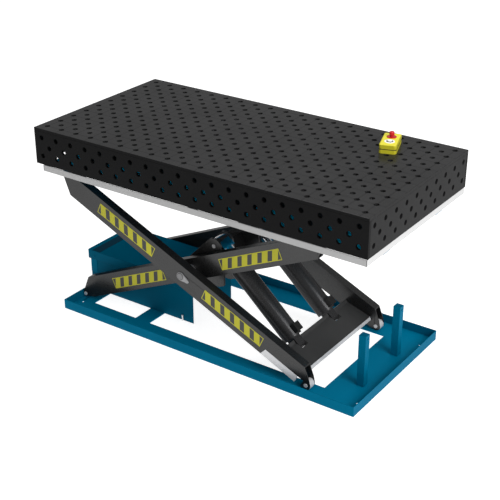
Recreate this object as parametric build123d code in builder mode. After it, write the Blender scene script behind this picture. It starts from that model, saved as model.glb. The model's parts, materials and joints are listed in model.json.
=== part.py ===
from build123d import *
import math
import os

os.makedirs("parts", exist_ok=True)

# Welding worktop: a box of plates with a grid of fixture holes, sizes in mm
table_length = 2000.0
table_width = 1000.0
slab_height = 200.0
plate_thick = 15.0
hole_d = 28.0
hole_pitch = 100.0
hole_flats = 6
edge_margin = 50.0
rib_thick = 10.0
rib_row_y = 2.25 * hole_pitch
rib_columns = (-6.75, -2.75, 2.75, 6.75)

# Scissor arms: rectangular tubes whose end pins sit off the tube's centreline
lift_angle = 24.257
arm_reach = table_length / 2 - 138.0
pin_drop = 31.7
arm_height = 120.0
arm_width = 50.0
arm_wall = 5.0
inner_arm_y = table_width / 2 - 235.0
outer_arm_y = table_width / 2 - 143.0
pin_r = 11.0
centre_pin_r = 17.5
running_clearance = 0.05
side_gap = 0.5
pin_proud = 2.0
fixed_end_r = 15.0
roller_end_r = 25.0
fixed_chamfer_start = arm_reach - 72.0
roller_chamfer_start = arm_reach - 52.0
chamfer_run = 52.0
chamfer_low_w = 10.0
wall_end_u = arm_reach - 62.0
end_cut_u = arm_reach + 58.0
tangent_angle = 40.0
bush_r = 30.0
bush_flats = 6

# Base tray
base_length = table_length - 124.0
base_width = table_width - 114.0
rim_height = 56.0
rim_thick = 4.0
floor_thick = 6.0
window_half_y = base_width / 2 - 135.0
window_left = (103.0 - base_length / 2, 406.0 - base_length / 2)
window_right = (504.0 - base_length / 2, base_length / 2 - 243.0)
pivot_x = 21.0 - base_length / 2
anchor_x = base_length / 2 - 39.0
anchor_y = base_width / 2 - 110.0
anchor_hole_d = 14.0

# Rollers
roller_r = 25.7
track_gap = 0.3

# Platform under the worktop
frame_height = 57.0
deck_thick = 6.0
rail_half_gap = inner_arm_y - 33.0
rail_width = 68.0
rail_wall = 6.0
cross_rail_width = 40.0
cross_rail_wall = 4.0
cross_rail_shares = (0.0, 0.305, 0.665, 1.0)
deck_window_margin = 5.0
deck_window_half_y = rail_half_gap - 7.0

# Safety trip skirt round the platform
skirt_x = (44.0 - table_length / 2, table_length / 2 - 4.0)
skirt_half_y = table_width / 2 - 3.0
skirt_drop = 37.0
skirt_gap = 4.0
skirt_leaf = 4.0
skirt_flange = 10.0
skirt_flange_drop = 17.0
hanger_setback = 16.0
hanger_lip = 5.0
hanger_reach = 10.0
hanger_length = 60.0
hanger_share_x = 0.37
hanger_share_y = 0.24

# Hydraulic rams: plunger rods pinned to the inner arms, barrels to the lower beam
ram_y = inner_arm_y - 98.0
ram_top_uw = (146.5, 83.3)
ram_foot_uw = (arm_reach - 193.9, -42.0)
barrel_r = 53.5
rod_r = 45.0
bore_r = 48.5
barrel_end = 44.0
cap_thick = 12.0
gland_start = 168.0
gland_length = 20.0
rod_start = 48.0
rod_end_gap = 178.0
rod_eye_r = 35.0
rod_eye_width = 90.0
foot_eye_r = 26.0
foot_eye_width = 56.0
open_pivot_clearance = 8.0
bracket_gap = 92.0
bracket_thick = 12.0
bracket_r = 44.0
bracket_back_w = 58.0
bracket_low_uw = ((0.0, -75.0), (45.0, -122.0), (80.0, -138.0), (115.0, -138.0), (143.0, -78.0))
foot_bracket_gap = 60.0
foot_bracket_r = 20.0
port_length = 48.0
port_width = 46.0
port_height = 26.0
port_from_end = 10.0

# Cross tube between the inner arms
cross_tube_u = (-40.0, 60.0)
cross_tube_half_w = 50.0
cross_tube_wall = 5.0

# Lower beam between the outer arms, a bent plate
beam_lip_uw = (arm_reach - 218.0, -11.4)
beam_fold_uw = (arm_reach - 202.3, -20.4)
beam_nose_uw = (arm_reach - 54.1, -2.6)
beam_toe_uw = (arm_reach - 39.1, -14.8)
beam_thick = 9.0
beam_slot_u = arm_reach - 158.0
beam_slot_clearance = 1.5

# Rebate and wear strip at the low end of the outer arms
rebate_u = (arm_reach - 288.0, arm_reach - 272.0, arm_reach - 24.0)
rebate_w = -18.0
strip_thick = 10.0
strip_gap = 0.5

# Centre lock plates
lock_r = 22.5
lock_tail_r = 8.0
lock_tail_u = 49.0
lock_thick = 6.0

# Stop posts
post_size = 40.0
post_x = base_length / 2 - 104.0
post_y = inner_arm_y - 87.0
post_top = 298.0
post_hole_side = 9.0
post_hole_drop = 22.0

# Power unit housing, its place counted from the tray's end
housing_x = (-24.0 - base_length / 2, 712.0 - base_length / 2)
housing_inset_x = 7.0 - base_length / 2
housing_half_y = inner_arm_y - 87.0
housing_wall = 3.0
housing_top = 255.0
overhang_z = 59.0
lid_overhang = (12.0, 8.0)
lid_half_y = housing_half_y + 8.0
lid_thick = 3.0
lid_depth = 55.0
bed_thick = 4.0
bed_inset = 10.0
bed_length = 480.0
tank_length = 220.0
tank_height = 190.0
tank_side_gap = 58.0
tank_from_inset = 140.0
motor_r = 75.0
motor_flats = 16
motor_length = 200.0
motor_from_inset = 370.0
motor_foot = (150.0, 120.0, 30.0)
screw_flats = 6
screw_r = 6.0
screw_head = 3.0
screw_from_end = 34.0
screw_z = 222.0

# Control pendant lying on the worktop
pendant_size = (87.0, 180.0, 43.0)
pendant_turn = 19.0
pendant_xy = (table_length / 2 - 334.0, table_width / 2 - 198.0)
pendant_corner_r = 12.0
seal_thick = 2.0
seal_inset = 2.0
stop_local_y = 35.0
collar_r = 25.0
collar_thick = 4.0
stop_stem_r = 8.0
stop_head_r = 13.5
stop_head_gap = 6.0
stop_height = 30.0
stop_crown = 5.0
button_flats = 24
lift_local_y = -30.0
lift_plate = (55.0, 50.0)
lift_plate_r = 8.0
lift_plate_thick = 2.0
lift_button_r = 12.0
lift_button_proud = 6.0
button_clearance = 0.3
button_well = 6.0

# Derived places
pin_reach = math.hypot(arm_reach, pin_drop)
pin_angle = math.radians(lift_angle) + math.atan2(pin_drop, arm_reach)
lower_pin_z = floor_thick + roller_r + track_gap
centre_x = pivot_x + pin_reach * math.cos(pin_angle)
centre_z = lower_pin_z + pin_reach * math.sin(pin_angle)
roller_x = 2 * centre_x - pivot_x
upper_pin_z = 2 * centre_z - lower_pin_z
track_z = upper_pin_z + roller_r + track_gap
deck_under_z = track_z + frame_height
slab_under_z = deck_under_z + deck_thick
slab_top_z = slab_under_z + slab_height
plate_under_z = slab_top_z - plate_thick
tube_cos = math.cos(math.radians(lift_angle))
tube_sin = math.sin(math.radians(lift_angle))
half_height = arm_height / 2
half_width = arm_width / 2
bore_half = half_height - arm_wall
skirt_top_z = slab_under_z - skirt_gap
skirt_under_z = slab_under_z - skirt_drop
flange_top_z = slab_under_z - skirt_flange_drop
flange_under_z = flange_top_z - skirt_leaf
sides = (-1, 1)


def outer_plane(y):
    # looks along Y with x running down the outer arm, from the centre pivot
    return Plane(origin=(centre_x, y, centre_z), x_dir=(tube_cos, 0, -tube_sin), z_dir=(0, -1, 0))


def inner_plane(y):
    # looks along Y with x running down the inner arm, from the centre pivot
    return Plane(origin=(centre_x, y, centre_z), x_dir=(-tube_cos, 0, -tube_sin), z_dir=(0, 1, 0))


def upright_plane(y):
    # looks along Y with x along the table and y up
    return Plane(origin=(0, y, 0), x_dir=(1, 0, 0), z_dir=(0, -1, 0))


def end_plane(x):
    # looks along X with x towards the back and y up
    return Plane(origin=(x, 0, 0), x_dir=(0, 1, 0), z_dir=(1, 0, 0))


def flat_plane(z):
    return Plane(origin=(0, 0, z), x_dir=(1, 0, 0), z_dir=(0, 0, 1))


def arm_end(chamfer_start, end_r):
    # outline of one arm end, from the top edge round the pin lug to the lower edge
    turn = math.radians(tangent_angle)
    return [
        (chamfer_start, half_height),
        (chamfer_start + chamfer_run, chamfer_low_w),
        (arm_reach + end_r * math.cos(turn), -pin_drop + end_r * math.sin(turn)),
        (arm_reach, -pin_drop - end_r),
        (wall_end_u, -half_height),
    ]


def turned(points):
    return [(-u, -w) for u, w in points]


def arm_outline(low_start, low_r, high_start, high_r):
    return arm_end(low_start, low_r) + turned(arm_end(high_start, high_r))


inner_outline = arm_outline(fixed_chamfer_start, fixed_end_r, roller_chamfer_start, roller_end_r)
outer_outline = arm_outline(roller_chamfer_start, roller_end_r, fixed_chamfer_start, fixed_end_r)
low_pin = (arm_reach, -pin_drop)
high_pin = (-arm_reach, pin_drop)


def tube_arm(plane, outline, low_r, high_r):
    # hollow arm with open ends, pin lugs and a welded centre bush
    low_cut = (wall_end_u + end_cut_u) / 2
    with BuildPart() as arm:
        with BuildSketch(plane):
            with BuildLine():
                Polyline(outline, close=True)
            make_face()
            with Locations(low_pin):
                Circle(low_r)
            with Locations(high_pin):
                Circle(high_r)
        extrude(amount=half_width, both=True)
        with BuildSketch(plane):
            Rectangle(2 * end_cut_u, 2 * bore_half)
            with Locations((low_cut, -half_height), (-low_cut, half_height)):
                Rectangle(end_cut_u - wall_end_u, arm_height)
        extrude(amount=half_width - arm_wall, both=True, mode=Mode.SUBTRACT)
        with BuildSketch(plane):
            RegularPolygon(bush_r, bush_flats)
        extrude(amount=half_width, both=True)
        with BuildSketch(plane):
            with Locations(low_pin, high_pin):
                Circle(pin_r + running_clearance)
            Circle(centre_pin_r + running_clearance)
        extrude(amount=half_width, both=True, mode=Mode.SUBTRACT)
    return arm.part


def cut_rebate(side, arm):
    # cuts the low edge away up to the arm's inner wall
    with BuildPart() as cut:
        add(arm)
        with BuildSketch(outer_plane(side * (outer_arm_y + arm_wall / 2))):
            with BuildLine():
                Polyline(
                    (rebate_u[0], -half_height),
                    (rebate_u[1], rebate_w),
                    (rebate_u[2], rebate_w),
                    (rebate_u[2], -half_height - arm_wall),
                    (rebate_u[0] - arm_wall / 2, -half_height - arm_wall),
                    close=True,
                )
            make_face()
        extrude(amount=half_width - arm_wall / 2, both=True, mode=Mode.SUBTRACT)
    return cut.part


# Worktop plate: edge grid and centre grid of fixture holes, round at the corners
columns = int((table_length - 2 * edge_margin) / hole_pitch)
rows = int((table_width - 2 * edge_margin) / hole_pitch)
grid_x = columns * hole_pitch / 2
grid_y = rows * hole_pitch / 2
corner_spots = [(grid_x * i, grid_y * j) for i in sides for j in sides]
grid_spots = [
    (-grid_x + hole_pitch * i, -grid_y + hole_pitch * j)
    for i in range(columns + 1)
    for j in range(rows + 1)
    if not (i in (0, columns) and j in (0, rows))
]
centre_spots = [
    (-grid_x + hole_pitch * (i + 0.5), -grid_y + hole_pitch * (j + 0.5))
    for i in range(columns)
    for j in range(rows)
]
with BuildPart() as worktop_plate:
    with BuildSketch(flat_plane(plate_under_z)):
        Rectangle(table_length, table_width)
        with Locations(*corner_spots):
            Circle(hole_d / 2, mode=Mode.SUBTRACT)
        with Locations(*grid_spots, *centre_spots):
            RegularPolygon(hole_d / 2, hole_flats, major_radius=False, mode=Mode.SUBTRACT)
    extrude(amount=plate_thick)
worktop_plate.part.label = "worktop_plate"
export_step(worktop_plate.part, "parts/worktop_plate.step")

side_height = slab_height - plate_thick
side_mid_z = slab_under_z + side_height / 2

with BuildPart() as side_front:
    with BuildSketch(upright_plane(-table_width / 2 + plate_thick)):
        with Locations((0, side_mid_z)):
            Rectangle(table_length, side_height)
    extrude(amount=plate_thick)
side_front.part.label = "side_front"
export_step(side_front.part, "parts/side_front.step")

with BuildPart() as side_back:
    with BuildSketch(upright_plane(table_width / 2)):
        with Locations((0, side_mid_z)):
            Rectangle(table_length, side_height)
    extrude(amount=plate_thick)
side_back.part.label = "side_back"
export_step(side_back.part, "parts/side_back.step")

inner_width = table_width - 2 * plate_thick
inner_length = table_length - 2 * plate_thick

with BuildPart() as side_ends:
    for x in (-table_length / 2, table_length / 2 - plate_thick):
        with BuildSketch(end_plane(x)):
            with Locations((0, side_mid_z)):
                Rectangle(inner_width, side_height)
        extrude(amount=plate_thick)
side_ends.part.label = "side_ends"
export_step(side_ends.part, "parts/side_ends.step")

with BuildPart() as ribs_long:
    with BuildSketch(flat_plane(slab_under_z)):
        with Locations((0, -rib_row_y), (0, rib_row_y)):
            Rectangle(inner_length, rib_thick)
    extrude(amount=side_height)
ribs_long.part.label = "ribs_long"
export_step(ribs_long.part, "parts/ribs_long.step")

outer_bay = inner_width / 2 - rib_row_y - rib_thick / 2
outer_bay_y = rib_row_y + rib_thick / 2 + outer_bay / 2
rib_columns_x = [share * hole_pitch for share in rib_columns]
with BuildPart() as ribs_cross:
    with BuildSketch(flat_plane(slab_under_z)):
        with Locations(*[(x, 0) for x in rib_columns_x]):
            Rectangle(rib_thick, 2 * rib_row_y - rib_thick)
        with Locations(*[(x, s * outer_bay_y) for x in rib_columns_x for s in sides]):
            Rectangle(rib_thick, outer_bay)
    extrude(amount=side_height)
ribs_cross.part.label = "ribs_cross"
export_step(ribs_cross.part, "parts/ribs_cross.step")

# Platform: deck sheet with three windows, roller rails and cross rails
deck_x = (skirt_x[0] + hanger_setback, skirt_x[1] - hanger_setback)
deck_half_y = skirt_half_y - hanger_setback
cross_rail_start = skirt_x[0] + 66.0
cross_rail_span = skirt_x[1] - 216.0 - cross_rail_start
cross_rails_x = [cross_rail_start + share * cross_rail_span for share in cross_rail_shares]
bay_inset = cross_rail_width / 2 + deck_window_margin
bays = [
    (cross_rails_x[i] + bay_inset, cross_rails_x[i + 1] - bay_inset)
    for i in range(len(cross_rails_x) - 1)
]
with BuildPart() as platform_deck:
    with BuildSketch(flat_plane(deck_under_z)):
        with Locations(((deck_x[0] + deck_x[1]) / 2, 0)):
            Rectangle(deck_x[1] - deck_x[0], 2 * deck_half_y)
        for low, high in bays:
            with Locations(((low + high) / 2, 0)):
                Rectangle(high - low, 2 * deck_window_half_y, mode=Mode.SUBTRACT)
    extrude(amount=deck_thick)
platform_deck.part.label = "platform_deck"
export_step(platform_deck.part, "parts/platform_deck.step")

rail_mid_z = track_z + frame_height / 2
rail_mid_y = rail_half_gap + rail_width / 2
rail_ends = (deck_x[0] + rail_wall, deck_x[1] - rail_wall)
with BuildPart() as platform_rails:
    with BuildSketch(end_plane(rail_ends[0])):
        with Locations((-rail_mid_y, rail_mid_z), (rail_mid_y, rail_mid_z)):
            Rectangle(rail_width, frame_height)
            Rectangle(rail_width - 2 * rail_wall, frame_height - 2 * rail_wall, mode=Mode.SUBTRACT)
    extrude(amount=rail_ends[1] - rail_ends[0])
platform_rails.part.label = "platform_rails"
export_step(platform_rails.part, "parts/platform_rails.step")

cross_bore_x = cross_rail_width - 2 * cross_rail_wall
cross_bore_z = frame_height - 2 * cross_rail_wall
with BuildPart() as platform_cross_rails:
    with BuildSketch(upright_plane(rail_half_gap)):
        with Locations(*[(x, rail_mid_z) for x in cross_rails_x]):
            Rectangle(cross_rail_width, frame_height)
            Rectangle(cross_bore_x, cross_bore_z, mode=Mode.SUBTRACT)
    extrude(amount=2 * rail_half_gap)
platform_cross_rails.part.label = "platform_cross_rails"
export_step(platform_cross_rails.part, "parts/platform_cross_rails.step")

# Fixed pivots: blocks that stand between the walls of the arm ends
lug_width = arm_width - 2 * arm_wall - 4 * side_gap
with BuildPart() as platform_lugs:
    for side in sides:
        with BuildSketch(upright_plane(side * outer_arm_y)):
            with Locations((pivot_x, (upper_pin_z + deck_under_z) / 2)):
                Rectangle(2 * fixed_end_r, deck_under_z - upper_pin_z)
            with Locations((pivot_x, upper_pin_z)):
                Circle(fixed_end_r)
                Circle(pin_r + running_clearance, mode=Mode.SUBTRACT)
        extrude(amount=lug_width / 2, both=True)
platform_lugs.part.label = "platform_lugs"
export_step(platform_lugs.part, "parts/platform_lugs.step")

with BuildPart() as base_lugs:
    for side in sides:
        with BuildSketch(upright_plane(side * inner_arm_y)):
            with Locations((pivot_x, (lower_pin_z + floor_thick) / 2)):
                Rectangle(2 * fixed_end_r, lower_pin_z - floor_thick)
            with Locations((pivot_x, lower_pin_z)):
                Circle(fixed_end_r)
                Circle(pin_r + running_clearance, mode=Mode.SUBTRACT)
        extrude(amount=lug_width / 2, both=True)
base_lugs.part.label = "base_lugs"
export_step(base_lugs.part, "parts/base_lugs.step")

# Base tray: floor with two windows and four anchor holes, and an upright rim
with BuildPart() as base_tray:
    with BuildSketch(flat_plane(0)):
        Rectangle(base_length, base_width)
    extrude(amount=rim_height)
    with BuildSketch(flat_plane(floor_thick)):
        Rectangle(base_length - 2 * rim_thick, base_width - 2 * rim_thick)
    extrude(amount=rim_height, mode=Mode.SUBTRACT)
    with BuildSketch(flat_plane(0)):
        for low, high in (window_left, window_right):
            with Locations(((low + high) / 2, 0)):
                Rectangle(high - low, 2 * window_half_y)
        with Locations(*[(anchor_x * i, anchor_y * j) for i in sides for j in sides]):
            Circle(anchor_hole_d / 2)
    extrude(amount=floor_thick, mode=Mode.SUBTRACT)
base_tray.part.label = "base_tray"
export_step(base_tray.part, "parts/base_tray.step")

# Scissor arms
inner_arm_front = tube_arm(inner_plane(-inner_arm_y), inner_outline, fixed_end_r, roller_end_r)
inner_arm_front.label = "inner_arm_front"
export_step(inner_arm_front, "parts/inner_arm_front.step")

inner_arm_back = tube_arm(inner_plane(inner_arm_y), inner_outline, fixed_end_r, roller_end_r)
inner_arm_back.label = "inner_arm_back"
export_step(inner_arm_back, "parts/inner_arm_back.step")

outer_front_tube = tube_arm(outer_plane(-outer_arm_y), outer_outline, roller_end_r, fixed_end_r)
outer_arm_front = cut_rebate(-1, outer_front_tube)
outer_arm_front.label = "outer_arm_front"
export_step(outer_arm_front, "parts/outer_arm_front.step")

outer_back_tube = tube_arm(outer_plane(outer_arm_y), outer_outline, roller_end_r, fixed_end_r)
outer_arm_back = cut_rebate(1, outer_back_tube)
outer_arm_back.label = "outer_arm_back"
export_step(outer_arm_back, "parts/outer_arm_back.step")

with BuildPart() as arm_end_strips:
    for side in sides:
        with BuildSketch(outer_plane(side * (outer_arm_y + half_width - strip_thick / 2))):
            with BuildLine():
                Polyline(
                    (rebate_u[0] + strip_gap, -half_height),
                    (rebate_u[1] + strip_gap, rebate_w),
                    (wall_end_u, rebate_w),
                    (wall_end_u, -half_height),
                    close=True,
                )
            make_face()
        extrude(amount=strip_thick / 2, both=True)
arm_end_strips.part.label = "arm_end_strips"
export_step(arm_end_strips.part, "parts/arm_end_strips.step")

# Cross tube that joins the inner arms at the centre
inner_gap_half = inner_arm_y - half_width
tube_mid_u = -(cross_tube_u[0] + cross_tube_u[1]) / 2
tube_width = cross_tube_u[1] - cross_tube_u[0]
with BuildPart() as inner_cross_tube:
    with BuildSketch(inner_plane(0)):
        with Locations((tube_mid_u, 0)):
            Rectangle(tube_width, 2 * cross_tube_half_w)
            Rectangle(
                tube_width - 2 * cross_tube_wall,
                2 * (cross_tube_half_w - cross_tube_wall),
                mode=Mode.SUBTRACT,
            )
    extrude(amount=inner_gap_half, both=True)
inner_cross_tube.part.label = "inner_cross_tube"
export_step(inner_cross_tube.part, "parts/inner_cross_tube.step")

# Brackets for the ram rods, welded to the cross tube
top_u = -ram_top_uw[0]
top_w = ram_top_uw[1]
bracket_offset = (bracket_gap + bracket_thick) / 2
slope_turn = math.atan2(top_w + bracket_r - bracket_back_w, ram_top_uw[0] - cross_tube_u[0])
flank_turn = math.radians(20)
tube_face_u = -cross_tube_u[1]
tube_back_u = -cross_tube_u[0]
bracket_low = [(-u, w) for u, w in bracket_low_uw]
bracket_outline = [
    (bracket_low[0][0], -cross_tube_half_w),
    (tube_face_u, -cross_tube_half_w),
    (tube_face_u, cross_tube_half_w),
    (tube_back_u, cross_tube_half_w),
    (tube_back_u, bracket_back_w),
    (top_u + bracket_r * math.sin(slope_turn), top_w + bracket_r * math.cos(slope_turn)),
    (top_u, top_w),
    (top_u - bracket_r * math.cos(flank_turn), top_w - bracket_r * math.sin(flank_turn)),
]
bracket_outline += reversed(bracket_low)
with BuildPart() as ram_brackets:
    for side in sides:
        for offset in (-bracket_offset, bracket_offset):
            with BuildSketch(inner_plane(side * ram_y + offset)):
                with BuildLine():
                    Polyline(bracket_outline, close=True)
                make_face()
                with Locations((top_u, top_w)):
                    Circle(bracket_r)
                    Circle(pin_r + running_clearance, mode=Mode.SUBTRACT)
            extrude(amount=bracket_thick / 2, both=True)
ram_brackets.part.label = "ram_brackets"
export_step(ram_brackets.part, "parts/ram_brackets.step")

# Lower beam between the outer arms with the brackets for the ram feet
outer_gap_half = outer_arm_y - half_width
nose_lean = math.atan2(beam_nose_uw[1] - beam_fold_uw[1], beam_nose_uw[0] - beam_fold_uw[0])
under_u = beam_thick * math.sin(nose_lean)
under_w = -beam_thick * math.cos(nose_lean)
foot_u, foot_w = ram_foot_uw
foot_bracket_offset = (foot_bracket_gap + bracket_thick) / 2
slot_half = foot_eye_width / 2 + beam_slot_clearance
beam_outline = [
    beam_lip_uw,
    beam_fold_uw,
    beam_nose_uw,
    beam_toe_uw,
    (beam_toe_uw[0] - beam_thick, beam_toe_uw[1] - beam_thick),
    (beam_nose_uw[0] + under_u - beam_thick, beam_nose_uw[1] + under_w),
    (beam_fold_uw[0] + under_u, beam_fold_uw[1] + under_w),
    (beam_lip_uw[0] - beam_thick / 2, beam_lip_uw[1] - beam_thick),
]
with BuildPart() as lower_beam:
    with BuildSketch(outer_plane(0)):
        with BuildLine():
            Polyline(beam_outline, close=True)
        make_face()
    extrude(amount=outer_gap_half, both=True)
    for side in sides:
        with BuildSketch(outer_plane(side * ram_y)):
            with Locations(((beam_slot_u + beam_lip_uw[0]) / 2 - beam_thick, foot_w)):
                Rectangle(beam_slot_u - beam_lip_uw[0] + 2 * beam_thick, arm_height)
        extrude(amount=slot_half, both=True, mode=Mode.SUBTRACT)
    for side in sides:
        for offset in (-foot_bracket_offset, foot_bracket_offset):
            with BuildSketch(outer_plane(side * ram_y + offset)):
                with BuildLine():
                    Polyline(
                        (foot_u - foot_bracket_r, foot_w),
                        (beam_fold_uw[0] - beam_thick, beam_fold_uw[1] - beam_thick / 2),
                        (beam_fold_uw[0], beam_fold_uw[1] - beam_thick / 2),
                        (beam_nose_uw[0] - beam_thick, beam_nose_uw[1] - beam_thick / 2),
                        (foot_u + foot_bracket_r, foot_w - beam_thick),
                        (foot_u, foot_w),
                        close=True,
                    )
                make_face()
                with Locations((foot_u, foot_w)):
                    Circle(foot_bracket_r)
            extrude(amount=bracket_thick / 2, both=True)
    for side in sides:
        with BuildSketch(outer_plane(side * ram_y)):
            with Locations((foot_u, foot_w)):
                Circle(pin_r + running_clearance)
        extrude(amount=foot_bracket_gap, both=True, mode=Mode.SUBTRACT)
lower_beam.part.label = "lower_beam"
export_step(lower_beam.part, "parts/lower_beam.step")

# Centre pivot: pins, spacer rings and teardrop lock plates
centre_pin_low = inner_gap_half - 2 * pin_proud
centre_pin_high = outer_arm_y + half_width + lock_thick + pin_proud
with BuildPart() as centre_pins:
    for side in sides:
        with BuildSketch(outer_plane(side * (centre_pin_low + centre_pin_high) / 2)):
            Circle(centre_pin_r)
        extrude(amount=(centre_pin_high - centre_pin_low) / 2, both=True)
centre_pins.part.label = "centre_pins"
export_step(centre_pins.part, "parts/centre_pins.step")

spacer_low = inner_arm_y + half_width
spacer_high = outer_gap_half - side_gap
with BuildPart() as centre_spacers:
    for side in sides:
        with BuildSketch(outer_plane(side * (spacer_low + spacer_high) / 2)):
            Circle(bush_r)
            Circle(centre_pin_r + running_clearance, mode=Mode.SUBTRACT)
        extrude(amount=(spacer_high - spacer_low) / 2, both=True)
centre_spacers.part.label = "centre_spacers"
export_step(centre_spacers.part, "parts/centre_spacers.step")

with BuildPart() as centre_locks:
    for side in sides:
        with BuildSketch(outer_plane(side * (outer_arm_y + half_width + lock_thick / 2))):
            with Locations((lock_tail_u, 0)):
                Circle(lock_tail_r)
            Circle(lock_r)
            make_hull()
            Circle(centre_pin_r + running_clearance, mode=Mode.SUBTRACT)
        extrude(amount=lock_thick / 2, both=True)
centre_locks.part.label = "centre_locks"
export_step(centre_locks.part, "parts/centre_locks.step")

# End pins and rollers
end_pin_half = half_width + pin_proud
with BuildPart() as base_pivot_pins:
    for side in sides:
        with BuildSketch(inner_plane(side * inner_arm_y)):
            with Locations(low_pin):
                Circle(pin_r)
        extrude(amount=end_pin_half, both=True)
base_pivot_pins.part.label = "base_pivot_pins"
export_step(base_pivot_pins.part, "parts/base_pivot_pins.step")

with BuildPart() as platform_pivot_pins:
    for side in sides:
        with BuildSketch(outer_plane(side * outer_arm_y)):
            with Locations(high_pin):
                Circle(pin_r)
        extrude(amount=end_pin_half, both=True)
platform_pivot_pins.part.label = "platform_pivot_pins"
export_step(platform_pivot_pins.part, "parts/platform_pivot_pins.step")

with BuildPart() as upper_axles:
    for side in sides:
        with BuildSketch(inner_plane(side * inner_arm_y)):
            with Locations(high_pin):
                Circle(pin_r)
        extrude(amount=end_pin_half, both=True)
upper_axles.part.label = "upper_axles"
export_step(upper_axles.part, "parts/upper_axles.step")

with BuildPart() as lower_axles:
    for side in sides:
        with BuildSketch(outer_plane(side * outer_arm_y)):
            with Locations(low_pin):
                Circle(pin_r)
        extrude(amount=end_pin_half, both=True)
lower_axles.part.label = "lower_axles"
export_step(lower_axles.part, "parts/lower_axles.step")

roller_half = half_width - arm_wall - side_gap
with BuildPart() as lower_rollers:
    for side in sides:
        with BuildSketch(outer_plane(side * outer_arm_y)):
            with Locations(low_pin):
                Circle(roller_r)
                Circle(pin_r + running_clearance, mode=Mode.SUBTRACT)
        extrude(amount=roller_half, both=True)
lower_rollers.part.label = "lower_rollers"
export_step(lower_rollers.part, "parts/lower_rollers.step")

with BuildPart() as upper_rollers:
    for side in sides:
        with BuildSketch(inner_plane(side * inner_arm_y)):
            with Locations(high_pin):
                Circle(roller_r)
                Circle(pin_r + running_clearance, mode=Mode.SUBTRACT)
        extrude(amount=roller_half, both=True)
upper_rollers.part.label = "upper_rollers"
export_step(upper_rollers.part, "parts/upper_rollers.step")

# Hydraulic rams
ram_top_x = centre_x + ram_top_uw[0] * tube_cos - ram_top_uw[1] * tube_sin
ram_top_z = centre_z + ram_top_uw[0] * tube_sin + ram_top_uw[1] * tube_cos
ram_foot_x = centre_x + foot_u * tube_cos + foot_w * tube_sin
ram_foot_z = centre_z - foot_u * tube_sin + foot_w * tube_cos
ram_length = math.hypot(ram_foot_x - ram_top_x, ram_foot_z - ram_top_z)
ram_dx = (ram_foot_x - ram_top_x) / ram_length
ram_dz = (ram_foot_z - ram_top_z) / ram_length


def ram_side_plane(side):
    # looks along Y with x running down the ram from its top pin
    return Plane(origin=(ram_top_x, side * ram_y, ram_top_z), x_dir=(ram_dx, 0, ram_dz), z_dir=(0, -1, 0))


def ram_round_plane(side, along):
    # square to the ram's axis, a distance below its top pin
    spot = (ram_top_x + along * ram_dx, side * ram_y, ram_top_z + along * ram_dz)
    return Plane(origin=spot, x_dir=(0, 1, 0), z_dir=(ram_dx, 0, ram_dz))


def ram_rod(side):
    with BuildPart() as rod:
        with BuildSketch(ram_round_plane(side, rod_start)):
            Circle(rod_r)
        extrude(amount=ram_length - rod_end_gap - rod_start)
        with BuildSketch(ram_side_plane(side)):
            Circle(rod_eye_r)
            with Locations((rod_start / 2, 0)):
                Rectangle(rod_start, 2 * rod_eye_r)
        extrude(amount=rod_eye_width / 2, both=True)
        with BuildSketch(ram_side_plane(side)):
            Circle(pin_r + running_clearance)
        extrude(amount=rod_eye_width / 2, both=True, mode=Mode.SUBTRACT)
    return rod.part


def ram_barrel(side):
    # tube closed by the foot eye's cap, with a gland at its mouth that the rod runs in
    barrel_length = ram_length - barrel_end - gland_start
    with BuildPart() as barrel:
        with BuildSketch(ram_round_plane(side, gland_start)):
            Circle(barrel_r)
        extrude(amount=barrel_length)
        with BuildSketch(ram_round_plane(side, gland_start)):
            Circle(rod_r + running_clearance)
        extrude(amount=gland_length, mode=Mode.SUBTRACT)
        with BuildSketch(ram_round_plane(side, gland_start + gland_length)):
            Circle(bore_r)
        extrude(amount=barrel_length - gland_length - cap_thick, mode=Mode.SUBTRACT)
        with BuildSketch(ram_side_plane(side)):
            with Locations((ram_length - barrel_end / 2, 0)):
                Rectangle(barrel_end, 2 * foot_eye_r)
            with Locations((ram_length, 0)):
                Circle(foot_eye_r)
        extrude(amount=foot_eye_width / 2, both=True)
        with BuildSketch(ram_side_plane(side)):
            with Locations((ram_length, 0)):
                Circle(pin_r + open_pivot_clearance)
        extrude(amount=foot_eye_width / 2, both=True, mode=Mode.SUBTRACT)
    return barrel.part


def ram_port(side):
    # block bored to lie on the barrel
    port_mid = ram_length - barrel_end - port_from_end - port_length / 2
    with BuildPart() as port:
        with BuildSketch(ram_round_plane(side, port_mid - port_length / 2)):
            with Locations((0, (barrel_r + port_height) / 2)):
                Rectangle(port_width, barrel_r + port_height)
            Circle(barrel_r, mode=Mode.SUBTRACT)
        extrude(amount=port_length)
    return port.part


ram_rod_front = ram_rod(-1)
ram_rod_front.label = "ram_rod_front"
export_step(ram_rod_front, "parts/ram_rod_front.step")

ram_rod_back = ram_rod(1)
ram_rod_back.label = "ram_rod_back"
export_step(ram_rod_back, "parts/ram_rod_back.step")

ram_barrel_front = ram_barrel(-1)
ram_barrel_front.label = "ram_barrel_front"
export_step(ram_barrel_front, "parts/ram_barrel_front.step")

ram_barrel_back = ram_barrel(1)
ram_barrel_back.label = "ram_barrel_back"
export_step(ram_barrel_back, "parts/ram_barrel_back.step")

ram_port_front = ram_port(-1)
ram_port_front.label = "ram_port_front"
export_step(ram_port_front, "parts/ram_port_front.step")

ram_port_back = ram_port(1)
ram_port_back.label = "ram_port_back"
export_step(ram_port_back, "parts/ram_port_back.step")

with BuildPart() as ram_top_pins:
    for side in sides:
        with BuildSketch(ram_side_plane(side)):
            Circle(pin_r)
        extrude(amount=bracket_gap / 2 + bracket_thick + pin_proud, both=True)
ram_top_pins.part.label = "ram_top_pins"
export_step(ram_top_pins.part, "parts/ram_top_pins.step")

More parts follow.
